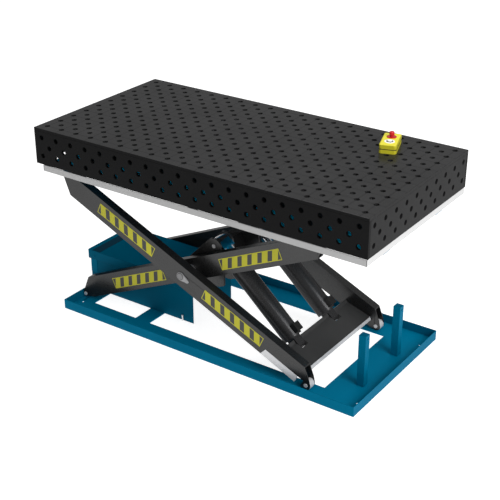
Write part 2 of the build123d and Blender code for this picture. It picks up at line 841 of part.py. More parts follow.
with BuildPart() as ram_foot_pins:
    for side in sides:
        with BuildSketch(ram_side_plane(side)):
            with Locations((ram_length, 0)):
                Circle(pin_r)
        extrude(amount=foot_bracket_gap / 2 + bracket_thick + pin_proud, both=True)
ram_foot_pins.part.label = "ram_foot_pins"
export_step(ram_foot_pins.part, "parts/ram_foot_pins.step")

# Safety trip skirt: four profiles that rest on hangers and lift a little when touched
skirt_mid_z = (skirt_top_z + skirt_under_z) / 2
skirt_height = skirt_top_z - skirt_under_z
flange_mid_z = (flange_top_z + flange_under_z) / 2
skirt_length = skirt_x[1] - skirt_x[0]
skirt_mid_x = (skirt_x[0] + skirt_x[1]) / 2
leaf_y = skirt_half_y - skirt_leaf / 2
flange_y = skirt_half_y - skirt_leaf - skirt_flange / 2
short_length = 2 * (skirt_half_y - skirt_leaf)
short_flange = short_length - 2 * skirt_flange - 2 * hanger_lip


def long_skirt(side):
    with BuildPart() as skirt:
        with BuildSketch(end_plane(skirt_x[0])):
            with Locations((side * leaf_y, skirt_mid_z)):
                Rectangle(skirt_leaf, skirt_height)
        extrude(amount=skirt_length)
        with BuildSketch(end_plane(skirt_x[0] + skirt_leaf)):
            with Locations((side * flange_y, flange_mid_z)):
                Rectangle(skirt_flange, skirt_leaf)
        extrude(amount=skirt_length - 2 * skirt_leaf)
    return skirt.part


skirt_front = long_skirt(-1)
skirt_front.label = "skirt_front"
export_step(skirt_front, "parts/skirt_front.step")

skirt_back = long_skirt(1)
skirt_back.label = "skirt_back"
export_step(skirt_back, "parts/skirt_back.step")

with BuildPart() as skirt_ends:
    for x, inward in zip(skirt_x, (1, -1)):
        with BuildSketch(upright_plane(0)):
            with Locations((x + inward * skirt_leaf / 2, skirt_mid_z)):
                Rectangle(skirt_leaf, skirt_height)
        extrude(amount=short_length / 2, both=True)
        with BuildSketch(upright_plane(0)):
            with Locations((x + inward * (skirt_leaf + skirt_flange / 2), flange_mid_z)):
                Rectangle(skirt_flange, skirt_leaf)
        extrude(amount=short_flange / 2, both=True)
skirt_ends.part.label = "skirt_ends"
export_step(skirt_ends.part, "parts/skirt_ends.step")

hanger_spots_x = [skirt_mid_x + share * skirt_length for share in (-hanger_share_x, 0, hanger_share_x)]
hanger_spots_y = (-hanger_share_y * 2 * skirt_half_y, hanger_share_y * 2 * skirt_half_y)
lip_under_z = flange_under_z - hanger_lip
hanger_near = hanger_setback + skirt_leaf
hanger_far = hanger_setback - hanger_reach


def hanger_outline(face, inward):
    # L section: an upright under the deck edge and a lip below the skirt's flange
    return [
        (face + inward * hanger_far, lip_under_z),
        (face + inward * hanger_near, lip_under_z),
        (face + inward * hanger_near, deck_under_z),
        (face + inward * hanger_setback, deck_under_z),
        (face + inward * hanger_setback, flange_under_z),
        (face + inward * hanger_far, flange_under_z),
    ]


with BuildPart() as skirt_hangers:
    for side in sides:
        for x in hanger_spots_x:
            with BuildSketch(end_plane(x)):
                with BuildLine():
                    Polyline(hanger_outline(side * skirt_half_y, -side), close=True)
                make_face()
            extrude(amount=hanger_length / 2, both=True)
    for y in hanger_spots_y:
        for face, inward in zip(skirt_x, (1, -1)):
            with BuildSketch(upright_plane(y)):
                with BuildLine():
                    Polyline(hanger_outline(face, inward), close=True)
                make_face()
            extrude(amount=hanger_length / 2, both=True)
skirt_hangers.part.label = "skirt_hangers"
export_step(skirt_hangers.part, "parts/skirt_hangers.step")

# Stop posts that carry the lowered platform
with BuildPart() as stop_posts:
    for side in sides:
        with BuildSketch(flat_plane(floor_thick)):
            with Locations((post_x, side * post_y)):
                Rectangle(post_size, post_size)
        extrude(amount=post_top - floor_thick)
        with BuildSketch(end_plane(post_x + post_size / 2)):
            with Locations((side * post_y, post_top - post_hole_drop)):
                Rectangle(post_hole_side, post_hole_side)
        extrude(amount=-post_size / 4, mode=Mode.SUBTRACT)
stop_posts.part.label = "stop_posts"
export_step(stop_posts.part, "parts/stop_posts.step")

# Power unit housing, open below and at the end under the scissor, stepped over the base rim
main_x = (housing_inset_x + housing_x[1]) / 2
main_length = housing_x[1] - housing_inset_x
step_length = housing_inset_x - housing_x[0]
with BuildPart() as power_unit_housing:
    with BuildSketch(flat_plane(floor_thick)):
        with Locations((main_x, 0)):
            Rectangle(main_length, 2 * housing_half_y)
    extrude(amount=housing_top - floor_thick)
    with BuildSketch(flat_plane(overhang_z)):
        with Locations((housing_x[0] + step_length / 2, 0)):
            Rectangle(step_length, 2 * housing_half_y)
    extrude(amount=housing_top - overhang_z)
    with BuildSketch(flat_plane(floor_thick)):
        with Locations((main_x + housing_wall, 0)):
            Rectangle(main_length, 2 * (housing_half_y - housing_wall))
    extrude(amount=housing_top - floor_thick, mode=Mode.SUBTRACT)
    with BuildSketch(flat_plane(overhang_z + housing_wall)):
        with Locations((housing_x[0] + step_length / 2 + housing_wall, 0)):
            Rectangle(step_length, 2 * (housing_half_y - housing_wall))
    extrude(amount=housing_top - overhang_z, mode=Mode.SUBTRACT)
power_unit_housing.part.label = "power_unit_housing"
export_step(power_unit_housing.part, "parts/power_unit_housing.step")

lid_top = housing_top + lid_thick
lid_x = (housing_x[0] - lid_overhang[0], housing_x[1] + lid_overhang[1])
lid_length = lid_x[1] - lid_x[0]
with BuildPart() as housing_lid:
    with BuildSketch(flat_plane(lid_top - lid_depth)):
        with Locations(((lid_x[0] + lid_x[1]) / 2, 0)):
            Rectangle(lid_length, 2 * lid_half_y)
    extrude(amount=lid_depth)
    with BuildSketch(flat_plane(lid_top - lid_depth)):
        with Locations(((lid_x[0] + lid_x[1]) / 2, 0)):
            Rectangle(lid_length - 2 * lid_thick, 2 * (lid_half_y - lid_thick))
    extrude(amount=lid_depth - lid_thick, mode=Mode.SUBTRACT)
housing_lid.part.label = "housing_lid"
export_step(housing_lid.part, "parts/housing_lid.step")

with BuildPart() as lid_screws:
    for side in sides:
        with BuildSketch(upright_plane(side * (lid_half_y + screw_head / 2))):
            with Locations((housing_x[0] + screw_from_end, screw_z), (housing_x[1] - screw_from_end, screw_z)):
                RegularPolygon(screw_r, screw_flats)
        extrude(amount=screw_head / 2, both=True)
lid_screws.part.label = "lid_screws"
export_step(lid_screws.part, "parts/lid_screws.step")

bed_start = housing_inset_x + bed_inset
with BuildPart() as power_unit_bed:
    with BuildSketch(flat_plane(floor_thick)):
        with Locations((bed_start + bed_length / 2, 0)):
            Rectangle(bed_length, 2 * (housing_half_y - bed_inset))
    extrude(amount=bed_thick)
power_unit_bed.part.label = "power_unit_bed"
export_step(power_unit_bed.part, "parts/power_unit_bed.step")

bed_top = floor_thick + bed_thick
with BuildPart() as oil_tank:
    with BuildSketch(flat_plane(bed_top)):
        with Locations((housing_inset_x + tank_from_inset, 0)):
            Rectangle(tank_length, 2 * (housing_half_y - tank_side_gap))
    extrude(amount=tank_height)
oil_tank.part.label = "oil_tank"
export_step(oil_tank.part, "parts/oil_tank.step")

motor_x = housing_inset_x + motor_from_inset
motor_z = bed_top + motor_foot[2] + motor_r
with BuildPart() as pump_motor:
    with BuildSketch(end_plane(motor_x - motor_length / 2)):
        with Locations((0, motor_z)):
            RegularPolygon(motor_r, motor_flats)
    extrude(amount=motor_length)
    with BuildSketch(flat_plane(bed_top)):
        with Locations((motor_x, 0)):
            Rectangle(motor_foot[0], motor_foot[1])
    extrude(amount=motor_z - bed_top)
pump_motor.part.label = "pump_motor"
export_step(pump_motor.part, "parts/pump_motor.step")


def pendant_plane(height):
    # lies on the worktop, turned with the pendant, at a height above the worktop
    plane = Plane(origin=(pendant_xy[0], pendant_xy[1], slab_top_z + height))
    return plane.rotated((0, 0, pendant_turn))


half_shell = (pendant_size[2] - seal_thick) / 2
stop_spot = (0, stop_local_y)
lift_spot = (0, lift_local_y)
with BuildPart() as pendant_lower:
    with BuildSketch(pendant_plane(0)):
        RectangleRounded(pendant_size[0], pendant_size[1], pendant_corner_r)
    extrude(amount=half_shell)
pendant_lower.part.label = "pendant_lower"
export_step(pendant_lower.part, "parts/pendant_lower.step")

with BuildPart() as pendant_seal:
    with BuildSketch(pendant_plane(half_shell)):
        RectangleRounded(
            pendant_size[0] - 2 * seal_inset,
            pendant_size[1] - 2 * seal_inset,
            pendant_corner_r - seal_inset,
        )
    extrude(amount=seal_thick)
pendant_seal.part.label = "pendant_seal"
export_step(pendant_seal.part, "parts/pendant_seal.step")

with BuildPart() as pendant_upper:
    with BuildSketch(pendant_plane(half_shell + seal_thick)):
        RectangleRounded(pendant_size[0], pendant_size[1], pendant_corner_r)
    extrude(amount=half_shell)
    with BuildSketch(pendant_plane(pendant_size[2] - button_well)):
        with Locations(stop_spot):
            RegularPolygon(stop_stem_r + button_clearance, button_flats)
        with Locations(lift_spot):
            RegularPolygon(lift_button_r + button_clearance, button_flats)
    extrude(amount=button_well, mode=Mode.SUBTRACT)
pendant_upper.part.label = "pendant_upper"
export_step(pendant_upper.part, "parts/pendant_upper.step")

with BuildPart() as stop_collar:
    with BuildSketch(pendant_plane(pendant_size[2])):
        with Locations(stop_spot):
            RegularPolygon(collar_r, button_flats)
            RegularPolygon(stop_stem_r + button_clearance, button_flats, mode=Mode.SUBTRACT)
    extrude(amount=collar_thick)
stop_collar.part.label = "stop_collar"
export_step(stop_collar.part, "parts/stop_collar.step")

stop_head_under = collar_thick + stop_head_gap
with BuildPart() as stop_button:
    with BuildSketch(pendant_plane(pendant_size[2])):
        with Locations(stop_spot):
            RegularPolygon(stop_stem_r, button_flats)
    extrude(amount=stop_head_under)
    with BuildSketch(pendant_plane(pendant_size[2] + stop_head_under)):
        with Locations(stop_spot):
            RegularPolygon(stop_head_r, button_flats)
    extrude(amount=stop_height - stop_head_under)
    chamfer(stop_button.edges().group_by(Axis.Z)[-1], stop_crown)
stop_button.part.label = "stop_button"
export_step(stop_button.part, "parts/stop_button.step")

with BuildPart() as lift_bezel:
    with BuildSketch(pendant_plane(pendant_size[2])):
        with Locations(lift_spot):
            RectangleRounded(lift_plate[0], lift_plate[1], lift_plate_r)
            RegularPolygon(lift_button_r + button_clearance, button_flats, mode=Mode.SUBTRACT)
    extrude(amount=lift_plate_thick)
lift_bezel.part.label = "lift_bezel"
export_step(lift_bezel.part, "parts/lift_bezel.step")

with BuildPart() as lift_button:
    with BuildSketch(pendant_plane(pendant_size[2])):
        with Locations(lift_spot):
            RegularPolygon(lift_button_r, button_flats)
    extrude(amount=lift_plate_thick + lift_button_proud)
lift_button.part.label = "lift_button"
export_step(lift_button.part, "parts/lift_button.step")
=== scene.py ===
import bpy
import json
import math
from mathutils import Matrix, Vector


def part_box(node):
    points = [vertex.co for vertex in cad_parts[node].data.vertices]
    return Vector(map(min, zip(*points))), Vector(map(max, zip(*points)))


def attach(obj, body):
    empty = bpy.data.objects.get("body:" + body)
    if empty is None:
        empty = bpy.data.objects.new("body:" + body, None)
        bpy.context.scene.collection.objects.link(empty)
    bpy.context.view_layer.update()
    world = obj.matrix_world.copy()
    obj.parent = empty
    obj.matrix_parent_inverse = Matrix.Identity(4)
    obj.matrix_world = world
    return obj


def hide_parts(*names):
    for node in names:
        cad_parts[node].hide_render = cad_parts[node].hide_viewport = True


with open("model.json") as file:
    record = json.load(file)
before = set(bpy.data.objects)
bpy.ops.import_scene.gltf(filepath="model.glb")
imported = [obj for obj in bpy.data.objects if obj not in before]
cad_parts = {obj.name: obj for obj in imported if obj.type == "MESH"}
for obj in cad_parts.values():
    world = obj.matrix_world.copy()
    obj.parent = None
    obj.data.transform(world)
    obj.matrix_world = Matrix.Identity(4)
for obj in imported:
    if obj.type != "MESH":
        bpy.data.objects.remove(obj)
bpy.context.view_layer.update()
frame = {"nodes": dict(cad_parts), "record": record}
nodes = frame["nodes"]

# %% [markdown]
# # A height adjustable welding table
#
# The table is a heavy worktop with a grid of fixture holes. It stands on a scissor
# that two hydraulic rams raise and lower. The CAD pieces are loaded already, each as
# its own object in the place that it has when the table stands as in the picture.
#
# What is left for Blender is what CAD does badly: finishes, stripes, soft edges, and
# the small pieces that catch the light. Lengths are in metres all through.

# %% [markdown]
# ## Measures
#
# A new piece only fits if its size comes from the piece that carries it. So nothing
# here is typed that a CAD box can tell. A box gives the lowest and the highest corner
# of a piece, and the worktop's length, its edge and the pivot's place follow from it.

# %% Measures of the worktop
plate_low, plate_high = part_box("worktop_plate")
deck_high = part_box("platform_deck")[1]
TOP_Z = plate_high.z
SLAB_Z = deck_high.z
LENGTH = plate_high.x - plate_low.x
WIDTH = plate_high.y - plate_low.y
THICK = plate_high.z - plate_low.z
PITCH = 0.1
HOLE_R = 0.014
COLUMNS = 20
ROWS = 10
GRID_X = LENGTH / 2 - PITCH / 2
GRID_Y = WIDTH / 2 - PITCH / 2
# the three rows of side holes lie one, two and three steps below the top
ROW_STEP = PITCH / 2
print("worktop %.3f by %.3f, top at %.3f" % (LENGTH, WIDTH, TOP_Z))

# %% Measures of the scissor, the power unit and the tray
LIFT = math.radians(24.257)
ARM_REACH = 0.862
pin_low, pin_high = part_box("centre_pins")
PIN_R = (pin_high.z - pin_low.z) / 2
CENTRE = Vector(((pin_low.x + pin_high.x) / 2, 0, (pin_low.z + pin_high.z) / 2))
OUTER_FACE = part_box("outer_arm_back")[1].y
INNER_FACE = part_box("inner_arm_back")[1].y
beam_low, beam_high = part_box("lower_beam")
lid_low, lid_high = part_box("housing_lid")
housing_low, housing_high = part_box("power_unit_housing")
tray_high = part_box("base_tray")[1]
print("scissor pivot at", tuple(round(value, 3) for value in CENTRE))

# %% [markdown]
# ## One recipe for paint and metal
#
# No real surface is one flat colour. Sprayed paint has a fine orange peel, and rolled
# steel has clouds of lighter and darker scale. The finishes differ only in numbers, so
# one function makes them all.
#
# It mixes two noises, a fine grain and a slow cloud. The sum drives a small change of
# colour, the grain alone drives roughness and a very low bump. Object coordinates keep
# the pattern fixed to a piece when the piece moves.

# %% Noises and colour
CLOUD_SCALE = 4.0
GRAIN_SHARE = 0.4
RAMP_ENDS = (0.35, 0.95)


def two_noises(tree, grain, stretch):
    coords = tree.nodes.new("ShaderNodeTexCoord")
    mapping = tree.nodes.new("ShaderNodeMapping")
    mapping.inputs["Scale"].default_value = stretch
    noise = tree.nodes.new("ShaderNodeTexNoise")
    noise.inputs["Scale"].default_value = grain
    noise.inputs["Detail"].default_value = 5.0
    cloud = tree.nodes.new("ShaderNodeTexNoise")
    cloud.inputs["Scale"].default_value = CLOUD_SCALE
    cloud.inputs["Detail"].default_value = 3.0
    tree.links.new(coords.outputs["Object"], mapping.inputs["Vector"])
    tree.links.new(mapping.outputs["Vector"], noise.inputs["Vector"])
    tree.links.new(coords.outputs["Object"], cloud.inputs["Vector"])
    return noise.outputs["Fac"], cloud.outputs["Fac"]


def vary_colour(tree, noise, cloud, colour, spread):
    both = tree.nodes.new("ShaderNodeMath")
    both.operation = "MULTIPLY_ADD"
    both.inputs[1].default_value = GRAIN_SHARE
    tree.links.new(noise, both.inputs[0])
    tree.links.new(cloud, both.inputs[2])
    ramp = tree.nodes.new("ShaderNodeValToRGB")
    stops = zip(ramp.color_ramp.elements, RAMP_ENDS, (1 - spread, 1 + spread))
    for element, position, factor in stops:
        element.position = position
        element.color = (*[min(1.0, value * factor) for value in colour], 1)
    tree.links.new(both.outputs[0], ramp.inputs["Fac"])
    return ramp.outputs["Color"]


# %% Roughness and bump
SHEEN_SPREAD = 0.12
RELIEF_DEPTH = 0.001


def vary_sheen(tree, noise, rough):
    sheen = tree.nodes.new("ShaderNodeMapRange")
    sheen.inputs["To Min"].default_value = rough * (1 - SHEEN_SPREAD)
    sheen.inputs["To Max"].default_value = min(1.0, rough * (1 + SHEEN_SPREAD))
    tree.links.new(noise, sheen.inputs["Value"])
    return sheen.outputs["Result"]


def fine_bump(tree, noise, strength):
    relief = tree.nodes.new("ShaderNodeBump")
    relief.inputs["Strength"].default_value = strength
    relief.inputs["Distance"].default_value = RELIEF_DEPTH
    tree.links.new(noise, relief.inputs["Height"])
    return relief.outputs["Normal"]


# %% The recipe itself
def material(
    name, colour, rough, metallic=0.0, grain=60.0, spread=0.12, bump=0.02,
    coat=0.0, stretch=(1, 1, 1), gloss=0.2, tint=(1, 1, 1),
):
    mat = bpy.data.materials.new(name)
    mat.use_nodes = True
    tree = mat.node_tree
    shader = tree.nodes["Principled BSDF"].inputs
    shader["Metallic"].default_value = metallic
    shader["Coat Weight"].default_value = coat
    shader["Specular IOR Level"].default_value = gloss
    shader["Specular Tint"].default_value = (*tint, 1)
    noise, cloud = two_noises(tree, grain, stretch)
    varied = vary_colour(tree, noise, cloud, colour, spread)
    tree.links.new(varied, shader["Base Color"])
    tree.links.new(vary_sheen(tree, noise, rough), shader["Roughness"])
    tree.links.new(fine_bump(tree, noise, bump), shader["Normal"])
    return mat


# %% [markdown]
# ## Blue frame paint
#
# The tray, the power unit and the platform's frame are sprayed blue. The paint throws
# back almost no red, not even in its shine, so the specular tint has none either. A
# small metallic share gives the flat panels the slight change with angle that the
# picture shows. The power unit stands in the shadow of the table, and its paint is
# mixed darker than the tray's, as painted shade. The lid's top gets a lighter copy of
# the blue, painted light against that shade, and the band along its edge gets a darker
# copy, painted shade.

# %% Blue finishes
BLUE = (0.0, 0.112, 0.2)
BLUE_TINT = (0.0, 0.45, 0.65)


def blue_paint(name, colour):
    return material(
        name, colour, 0.5, 0.12, grain=350, spread=0.07, bump=0.05, gloss=0.03,
        tint=BLUE_TINT,
    )


frame_blue = blue_paint("frame_blue", BLUE)
# painted shade: a darker copy of the blue for the shaded band on the lid
band_painted_shade = blue_paint("band_painted_shade", (0.0, 0.05, 0.09))
shade_blue = blue_paint("shade_blue", (0.0, 0.082, 0.145))
# painted light: a lighter copy of the blue for the lid's top, which lies in the table's
# shade
lid_painted_light = material(
    "lid_painted_light", (0.0, 0.15, 0.26), 0.6, grain=350, spread=0.07, bump=0.04, gloss=0.0,
    tint=BLUE_TINT,
)
print("blue finishes:", frame_blue.name, band_painted_shade.name, shade_blue.name, lid_painted_light.name)

# %% [markdown]
# ## Grey and bright metals
#
# The arms are dark tubes with a smooth, low shine. A metallic material with a dark
# colour does that best: seen straight on it stays dark, and near its edge it mirrors
# the room, held back by a dark tint. The worktop is one steel all round. Its sides get
# the darkest copy of it and its end a copy a little lighter than the sides, both darker
# than the top: this is painted shade for how light falls on each face. Pins, rollers
# and rods are bare metal, and the trip skirt is light grey sheet.

# %% Steel of the worktop and the scissor
DARK_TINT = (0.35, 0.35, 0.35)
worktop_steel = material("worktop_steel", (0.03, 0.03, 0.031), 0.5, grain=90, bump=0.05)
# painted shade: the sides and the end are darker copies of the worktop steel
side_steel_shaded = material(
    "side_steel_shaded", (0.006, 0.006, 0.0062), 0.5, grain=90, bump=0.05, gloss=0.04
)
end_steel_shaded = material(
    "end_steel_shaded", (0.0135, 0.0135, 0.0138), 0.5, grain=90, bump=0.05, gloss=0.05
)
arm_grey = material(
    "arm_grey", (0.06, 0.06, 0.06), 0.28, 0.85, grain=350, spread=0.06, bump=0.008,
    tint=DARK_TINT,
)
beam_grey = material(
    "beam_grey", (0.056, 0.056, 0.056), 0.35, 0.4, grain=350, spread=0.06, bump=0.01,
    tint=DARK_TINT,
)
barrel_grey = material(
    "barrel_grey", (0.044, 0.044, 0.045), 0.27, 0.6, grain=300, spread=0.06,
    bump=0.008, tint=DARK_TINT,
)
print("arm grey made from", len(arm_grey.node_tree.nodes), "nodes")

# %% Bright metals and light sheet
skirt_grey = material("skirt_grey", (0.36, 0.36, 0.36), 0.5, grain=200, spread=0.05)
skirt_pale = material("skirt_pale", (0.47, 0.47, 0.47), 0.5, grain=200, spread=0.05)
pin_steel = material("pin_steel", (0.45, 0.45, 0.46), 0.3, metallic=0.8, grain=300)
rod_chrome = material(
    "rod_chrome", (0.75, 0.75, 0.77), 0.08, metallic=1.0, grain=300, spread=0.03,
    bump=0.005,
)
# the strips are brushed across, so their grain is stretched
strip_steel = material(
    "strip_steel", (0.63, 0.63, 0.64), 0.35, grain=90, stretch=(1, 1, 12), bump=0.05
)
plate_grey = material(
    "plate_grey", (0.26, 0.26, 0.265), 0.4, grain=250, spread=0.06, bump=0.03, gloss=0.3
)
pin_grey = material(
    "pin_grey", (0.17, 0.17, 0.175), 0.4, grain=250, spread=0.06, bump=0.03, gloss=0.3
)
roller_steel = material(
    "roller_steel", (0.5, 0.5, 0.51), 0.35, grain=250, spread=0.06, gloss=0.4
)
bright_steel = material(
    "bright_steel", (0.8, 0.8, 0.81), 0.3, metallic=0.4, grain=300, spread=0.04,
    bump=0.01,
)
print("bright metals done")

# %% [markdown]
# ## Plastics and rubber
#
# The pendant is moulded in yellow with a red stop button, a white button and black
# rubber. Plastic has no metallic part, and its bump is a faint mould grain. Only the
# button has a clear coat, since it is polished.

# %% Plastics and rubber
port_black = material("port_black", (0.008, 0.008, 0.008), 0.4, grain=300, bump=0.03)
pendant_yellow = material(
    "pendant_yellow", (0.46, 0.42, 0.02), 0.4, grain=400, spread=0.04, bump=0.04
)
face_yellow = material(
    "face_yellow", (0.72, 0.66, 0.05), 0.4, grain=400, spread=0.04, bump=0.04
)
stop_red = material(
    "stop_red", (0.5, 0.01, 0.014), 0.25, grain=200, spread=0.05, bump=0.01, coat=0.3
)
seal_black = material("seal_black", (0.015, 0.015, 0.012), 0.7, grain=200)
button_white = material(
    "button_white", (0.85, 0.85, 0.83), 0.35, grain=200, spread=0.03, bump=0.01
)
gap_black = material(
    "gap_black", (0.01, 0.01, 0.01), 0.6, grain=200, spread=0.05, bump=0.01
)
print("materials so far:", len(bpy.data.materials))

# %% [markdown]
# ## Two small tools for patterns
#
# The next finishes hold a pattern with hard edges, such as a scribed line or a stripe.
# Such a pattern is a sum of small questions: is this point left of that line, is it
# inside that block. Each question is one Math node that answers 0 or 1. The answers
# together are a mask, and the mask chooses between two colours.

# %% Mask tools
def maths(tree, operation, *values):
    # one Math node: numbers go on its sockets, outputs are linked to them
    node = tree.nodes.new("ShaderNodeMath")
    node.operation = operation
    for socket, value in zip(node.inputs, values):
        if isinstance(value, (int, float)):
            socket.default_value = value
        else:
            tree.links.new(value, socket)
    return node.outputs[0]


def colour_by_mask(mat, mask, where_0, where_1):
    # the finish's own ramp is given as None, another colour as three numbers
    tree = mat.node_tree
    mix = tree.nodes.new("ShaderNodeMix")
    mix.data_type = "RGBA"
    tree.links.new(mask, mix.inputs["Factor"])
    for socket, colour in (("A", where_0), ("B", where_1)):
        if colour is None:
            own = tree.nodes["Color Ramp"].outputs["Color"]
            tree.links.new(own, mix.inputs[socket])
        else:
            mix.inputs[socket].default_value = (*colour, 1)
    base = tree.nodes["Principled BSDF"].inputs["Base Color"]
    tree.links.new(mix.outputs["Result"], base)


def axes_of(mat, source="Texture Coordinate", output="Object"):
    tree = mat.node_tree
    split = tree.nodes.new("ShaderNodeSeparateXYZ")
    tree.links.new(tree.nodes[source].outputs[output], split.inputs["Vector"])
    return split.outputs


# %% [markdown]
# ## Blue painted lighter where the table shades it
#
# The tray's floor lies in the shade of the table, and the deck's upper face lies inside
# the worktop and shows only as blue crescents in the side holes. In the rim's paint
# both would come out too dark, so theirs is mixed lighter: this is painted light. Each
# piece still has one material. A zone says which axis is asked, around which middle,
# and how far the lighter paint reaches from it.

# %% Blues with painted light
TRAY_FLOOR = 0.0065
TRAY_RIM = 0.0045
DECK_SKIN = 0.0005


def blues_with_painted_light(name, light_colour, zones):
    mat = blue_paint(name, BLUE)
    tree = mat.node_tree
    place = axes_of(mat)
    mask = None
    for axis, middle, reach in zones:
        near = maths(tree, "COMPARE", place[axis], middle, reach)
        mask = near if mask is None else maths(tree, "MULTIPLY", mask, near)
    colour_by_mask(mat, mask, None, light_colour)
    return mat


# painted light: the tray's floor and the deck's top are lighter than the rim's blue
tray_blue = blues_with_painted_light("tray_blue", (0.0, 0.17, 0.3), (
    ("Z", 0, TRAY_FLOOR),
    ("X", 0, tray_high.x - TRAY_RIM),
    ("Y", 0, tray_high.y - TRAY_RIM),
))
deck_blue = blues_with_painted_light("deck_blue", (0.0, 0.43, 0.72), (("Z", SLAB_Z, DECK_SKIN),))
print("painted-light blues:", tray_blue.name, deck_blue.name)

# %% [markdown]
# ## Scribed lines on the worktop
#
# A welder lines work up by faint lines scribed through the holes. Cut into the mesh,
# they would cost thousands of faces for a hair's width. As a mask they cost nothing:
# Ping-Pong folds the length of the top into one half pitch, and a point is on a line
# where the folded length is nearly zero.

# %% Scribed top
LINE_HALF = 0.0011
FOLD_START = PITCH * 20.5
SCRIBE_GREY = (0.014, 0.014, 0.015)


def scribed_top():
    mat = material(
        "scribed_top", (0.075, 0.075, 0.076), 0.26, metallic=0.8, grain=90,
        tint=(0.6, 0.6, 0.6),
    )
    tree = mat.node_tree
    place = axes_of(mat)
    lines = []
    for axis in ("X", "Y"):
        shifted = maths(tree, "ADD", place[axis], FOLD_START)
        folded = maths(tree, "PINGPONG", shifted, PITCH / 2)
        lines.append(maths(tree, "LESS_THAN", folded, LINE_HALF))
    colour_by_mask(mat, maths(tree, "MAXIMUM", *lines), None, SCRIBE_GREY)
    return mat


top_steel = scribed_top()
print("scribed top made from", len(top_steel.node_tree.nodes), "nodes")

# %% [markdown]
# ## Hazard stripes
#
# Four stickers on each side warn of the closing scissor: a thin yellow outline with six
# yellow blocks. The blocks stand upright although the arms lean, so they slope inside
# the sticker. The pattern follows the surface and is therefore read from the sticker's
# own UV map. Adding a share of the height to the length leans the blocks.

# %% Stripe pattern
STRIPE_LENGTH = 0.4
STRIPE_HEIGHT = 0.061
BLOCK_PITCH = 0.0667
BLOCK_DUTY = 0.565
BLOCK_SPAN = 2.5
LINE_WIDTH = 0.004
ARM_COLOUR = (0.062, 0.062, 0.062)


def hazard(name, lean):
    mat = material(
        name, (0.42, 0.4, 0.035), 0.45, grain=300, spread=0.05, gloss=0.1
    )
    tree = mat.node_tree
    tree.nodes.new("ShaderNodeUVMap")
    place = axes_of(mat, "UV Map", "UV")

    def offset(axis, size):
        return maths(tree, "MULTIPLY", maths(tree, "SUBTRACT", place[axis], 0.5), size)

    def beyond(value, limit):
        return maths(tree, "GREATER_THAN", maths(tree, "ABSOLUTE", value), limit)

    along = offset("X", STRIPE_LENGTH)
    across = offset("Y", STRIPE_HEIGHT)
    outline = maths(
        tree, "MAXIMUM", beyond(along, STRIPE_LENGTH / 2 - LINE_WIDTH),
        beyond(across, STRIPE_HEIGHT / 2 - LINE_WIDTH),
    )
    upright = maths(tree, "MULTIPLY_ADD", across, lean, along)
    start = BLOCK_PITCH * (20 + BLOCK_DUTY / 2 + 0.5)
    turns = maths(tree, "DIVIDE", maths(tree, "ADD", upright, start), BLOCK_PITCH)
    block = maths(tree, "LESS_THAN", maths(tree, "FRACT", turns), BLOCK_DUTY)
    inside = maths(
        tree, "LESS_THAN", maths(tree, "ABSOLUTE", upright),
        BLOCK_PITCH * (BLOCK_SPAN + BLOCK_DUTY / 2),
    )
    blocks = maths(tree, "MULTIPLY", block, inside)
    colour_by_mask(mat, maths(tree, "MAXIMUM", outline, blocks), ARM_COLOUR, None)
    return mat


stripes_outer = hazard("stripes_outer", math.tan(LIFT))
stripes_inner = hazard("stripes_inner", -math.tan(LIFT))
print("stripe blocks lean by %.1f degrees" % math.degrees(LIFT))

# %% [markdown]
# ## Finishes on the CAD pieces
#
# Each CAD piece names the material slot that it belongs to, so the slots are filled
# first and in one go. Then come the few pieces that look different from the rest of
# their slot, such as the rollers, which are bare while the pins beside them are grey.

# %% Slot finishes
SLOTS = {
    "worktop_steel": worktop_steel, "frame_blue": frame_blue, "arm_grey": arm_grey,
    "skirt_grey": skirt_grey, "pin_steel": pin_steel, "rod_chrome": rod_chrome,
    "barrel_grey": barrel_grey, "port_black": port_black, "strip_steel": strip_steel,
    "pendant_yellow": pendant_yellow, "stop_red": stop_red, "seal_black": seal_black,
    "button_white": button_white,
}
for part in frame["record"]["subparts"]:
    node = nodes[part["node"]]
    node.data.materials.clear()
    node.data.materials.append(SLOTS[part["material_slot"]])
print(len(nodes), "CAD pieces have", len(SLOTS), "slot finishes")

# %% Pieces that differ from their slot
OTHER = {
    "centre_locks": plate_grey, "centre_pins": pin_grey, "lower_axles": roller_steel,
    "lower_rollers": roller_steel, "upper_rollers": roller_steel,
    "base_pivot_pins": bright_steel, "ram_foot_pins": arm_grey,
    "power_unit_housing": shade_blue, "housing_lid": shade_blue,
    "lid_screws": frame_blue, "lower_beam": beam_grey, "stop_collar": stop_red,
    "skirt_ends": skirt_pale, "skirt_hangers": skirt_grey, "base_tray": tray_blue,
    "platform_deck": deck_blue,
}
for name, mat in OTHER.items():
    nodes[name].data.materials[0] = mat
print(len(OTHER), "pieces have a finish of their own")

# %% [markdown]
# ## Tools for new pieces
#
# An operator works on everything that is selected. Loading leaves the CAD pieces
# selected, so each tool starts by selecting nothing. A finished piece has its place in
# its mesh and not in its object, because a CAD piece has too, and then both move in the
# same way with their body.

# %% Selecting, placing and naming
def choose(*objects):
    bpy.ops.object.select_all(action="DESELECT")
    for obj in objects:
        obj.select_set(True)
    if objects:
        bpy.context.view_layer.objects.active = objects[0]


def settle(obj):
    # puts the object's place into its mesh
    choose(obj)
    bpy.ops.object.transform_apply(location=True, rotation=True, scale=True)
    return obj


def apply_all(obj):
    choose(obj)
    for modifier in list(obj.modifiers):
        bpy.ops.object.modifier_apply(modifier=modifier.name)
    return obj


def join(pieces):
    choose(*pieces)
    bpy.ops.object.join()
    return bpy.context.object


